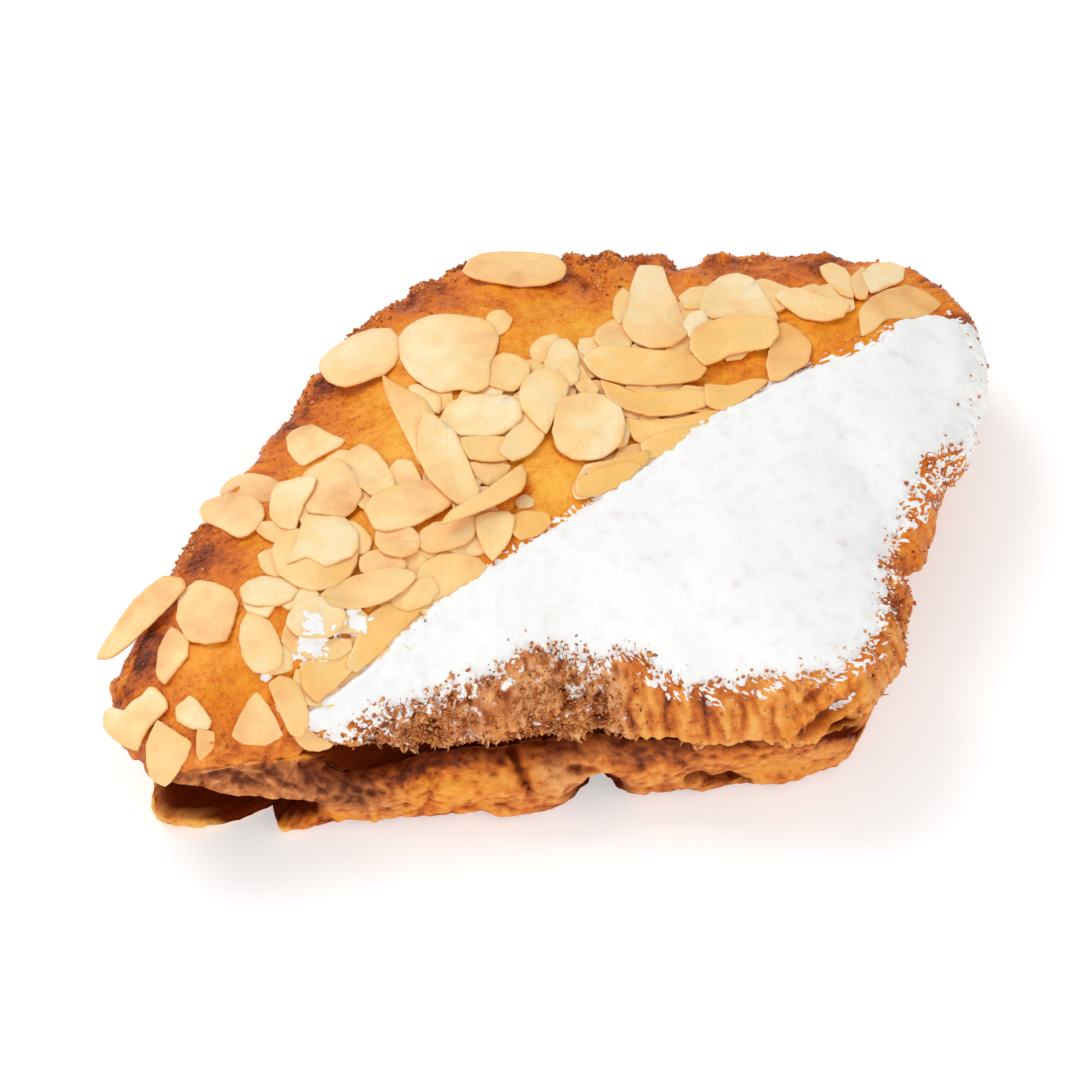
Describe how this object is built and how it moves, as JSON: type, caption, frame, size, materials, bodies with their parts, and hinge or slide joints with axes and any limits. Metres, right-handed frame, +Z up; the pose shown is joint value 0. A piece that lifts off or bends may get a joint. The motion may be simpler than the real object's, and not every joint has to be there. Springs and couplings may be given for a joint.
{
  "type": "almond croissant",
  "caption": "Pressed almond croissant split through the middle, with flaked almonds fused to the crust and icing sugar over one side of the top",
  "frame": {"origin": "middle of the bounding box in plan, on the flat underside", "axes": "+X along the length of the croissant, -Y towards the side the picture shows, +Z up"},
  "size_m": [0.1578, 0.1199, 0.0354],
  "materials": {
    "baked_underside": "satin",
    "baked_crust": "glossy",
    "icing_sugar": "matte"
  },
  "bodies": {
    "root": {"croissant_base": "baked_underside", "croissant_top": "baked_crust", "icing_sugar": "icing_sugar"}
  },
  "joints": []
}
